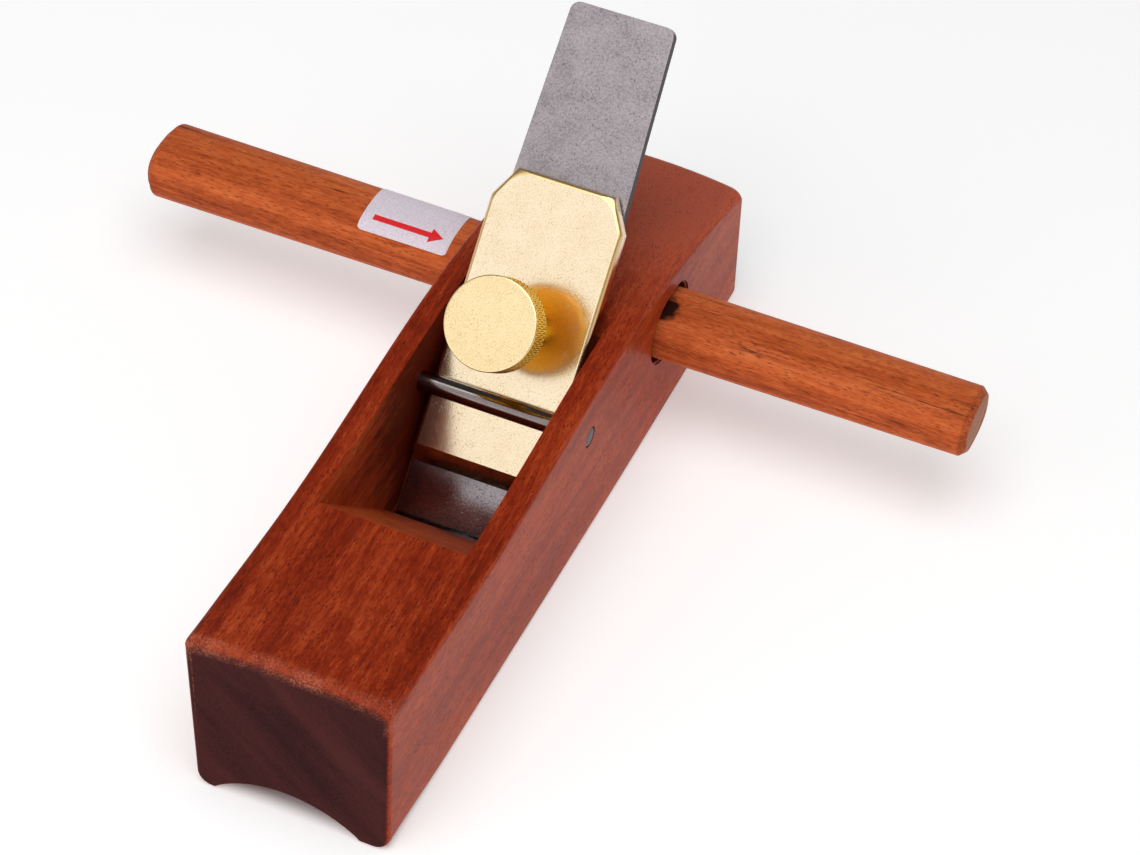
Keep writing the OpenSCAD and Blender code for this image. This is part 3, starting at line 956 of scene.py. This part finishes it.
# The knob's underside and the stud: a deep orange that is painted reflection of brass in brass.
under_brass_painted_reflection = metal(
    "brass_under_painted_reflection", ((1.0, 0.50, 0.012), (1.0, 0.57, 0.02), (1.0, 0.64, 0.04)), (0.5, 0.25, 0.03), 0.34)
blade_steel = metal(
    "steel_ground", ((0.19, 0.167, 0.18), (0.295, 0.262, 0.276), (0.38, 0.345, 0.36)), (0.08, 0.066, 0.07),
    0.42, cloud=0.3, pits=0.75, fine=0.6, pit_size=1.0, bump_mm=0.012, smooth_below=(15, 0.13),
    dull_ends=(0.12, 0.105, 0.11))
pin_steel = metal(
    "steel_drawn_dark", ((0.15, 0.122, 0.118), (0.21, 0.175, 0.17), (0.29, 0.25, 0.245)), (0.10, 0.08, 0.078),
    0.15, drawn=(30, 0.3, 0.3), dull_ends=(0.10, 0.092, 0.096))


def label_paper(width, length):
    """White paper with a plain red arrow along its lower half."""
    s = Shader("paper_label", Specular_IOR_Level=0.35)
    along, over = s.attribute("along"), s.attribute("over")
    tail, neck, tip = 0.12 * length, 0.76 * length, 0.91 * length
    centre, shaft_half, head_half = 0.25 * width, 1.0, 2.7
    off = s.math("ABSOLUTE", s.minus(over, centre))
    shaft = s.times(s.math("GREATER_THAN", along, tail), s.math("LESS_THAN", along, neck + 0.2))
    shaft = s.times(shaft, s.math("LESS_THAN", off, shaft_half))
    half_here = s.times(s.minus(tip, along), head_half / (tip - neck))
    head = s.times(s.math("GREATER_THAN", along, neck), s.math("LESS_THAN", off, half_here))
    arrow = s.math("MAXIMUM", shaft, head)
    fibre = s.noise((0.5, 0.5, 0.5), detail=3.0)
    paper = s.ramp(fibre, (0.3, rgb(212, 200, 210)), (0.7, rgb(238, 228, 238)))
    ink = s.ramp(fibre, (0.3, rgb(214, 26, 34)), (0.7, rgb(240, 40, 44)))
    s.set("Base Color", s.mix(arrow, paper, ink))
    s.set("Roughness", s.span(fibre, 0.2, 0.8, 0.42, 0.6))
    s.set("Normal", s.bump(fibre, 0.02))
    return s.material


# ---------------------------------------------------------------- build the pieces

build_body(body_finish, body_raw)
build_pin(pin_steel)
build_iron(blade_steel)
build_cap(cap_brass)
# The stud takes the knob's underside brass, a painted reflection.
build_stud(under_brass_painted_reflection)
build_knob(knob_brass, rim_brass_painted_reflection, under_brass_painted_reflection)
build_handle(handle_finish)
build_label()


# ---------------------------------------------------------------- floor, light and camera

def lit_table():
    """Plain pale floor, softly lit from inside like a table for shadowless pictures, not under the body."""
    s = Shader("floor_pale", Roughness=0.9, Specular_IOR_Level=0.0)
    s.set("Base Color", (0.8, 0.8, 0.8, 1))
    s.set("Emission Color", (1.0, 1.0, 1.0, 1))
    beside = s.minus(s.math("ABSOLUTE", s.part(s.place, 0)), HALF_WIDTH * MM)
    beyond = s.minus(s.math("ABSOLUTE", s.part(s.place, 1)), HEEL * MM)
    s.set("Emission Strength", s.span(s.math("MAXIMUM", beside, beyond), -0.006, 0.0, 0.0, 0.36))
    return s.material


FLOOR_HALF, FLOOR_LEVEL = 4000, -0.05
corners = [(x * FLOOR_HALF, y * FLOOR_HALF, FLOOR_LEVEL) for x, y in ((-1, -1), (1, -1), (1, 1), (-1, 1))]
floor = new_object("floor", corners, [(0, 1, 2, 3)])
floor.data.materials.append(lit_table())


def soft_light(name, direction, distance, size, radiance, aim=Vector((0, 0, 0.03))):
    """A square softbox that looks at the object from a direction, as bright as radiance seen head on."""
    light = bpy.data.lights.new(name, "AREA")
    light.shape, light.size = "SQUARE", size
    light.energy = radiance * math.pi * size * size
    lamp = bpy.data.objects.new(name, light)
    bpy.context.scene.collection.objects.link(lamp)
    direction = Vector(direction).normalized()
    lamp.location = aim + direction * distance
    lamp.rotation_mode = "QUATERNION"
    lamp.rotation_quaternion = direction.to_track_quat("Z", "Y")
    return lamp


soft_light("key_softbox", (-0.267, -0.754, 0.598), 1.3, 1.15, 1.02)
soft_light("overhead_softbox", (0.12, -0.25, 1.0), 1.4, 1.2, 2.9)

world = bpy.data.worlds.new("studio")
bpy.context.scene.world = world
world.use_nodes = True
tree = world.node_tree
background = tree.nodes["Background"]
direction = tree.nodes.new("ShaderNodeTexCoord").outputs["Generated"]
height = tree.nodes.new("ShaderNodeSeparateXYZ")
tree.links.new(direction, height.inputs[0])
light_fade = tree.nodes.new("ShaderNodeMapRange")
light_fade.interpolation_type = "SMOOTHSTEP"
for socket, value in (("From Min", 0.05), ("From Max", 0.55), ("To Min", 1.0), ("To Max", 0.12)):
    light_fade.inputs[socket].default_value = value
tree.links.new(height.outputs[2], light_fade.inputs["Value"])
tree.links.new(light_fade.outputs[0], background.inputs["Strength"])
background.inputs["Color"].default_value = (1, 1, 1, 1)

AZIMUTH, ELEVATION, ROLL = (math.radians(angle) for angle in (22.32, 45.36, 2.38))
AIM, DISTANCE, LENS = Vector((14.6, 29.0, 18.0)) * MM, 1.035, 110.5
level = math.cos(ELEVATION)
back = Vector((math.sin(AZIMUTH) * level, -math.cos(AZIMUTH) * level, math.sin(ELEVATION)))
right = Vector((math.cos(AZIMUTH), math.sin(AZIMUTH), 0))
up = back.cross(right)
rolled_right = right * math.cos(ROLL) + up * math.sin(ROLL)
rolled_up = up * math.cos(ROLL) - right * math.sin(ROLL)
camera = bpy.data.objects.new("camera", bpy.data.cameras.new("camera"))
bpy.context.scene.collection.objects.link(camera)
camera.data.lens, camera.data.sensor_width = LENS, 36
camera.data.clip_start, camera.data.clip_end = 0.05, 20
turned = Matrix((rolled_right, rolled_up, back)).transposed().to_4x4()
camera.matrix_world = Matrix.Translation(AIM + back * DISTANCE) @ turned
bpy.context.scene.camera = camera
bpy.context.scene.view_settings.view_transform = "Standard"
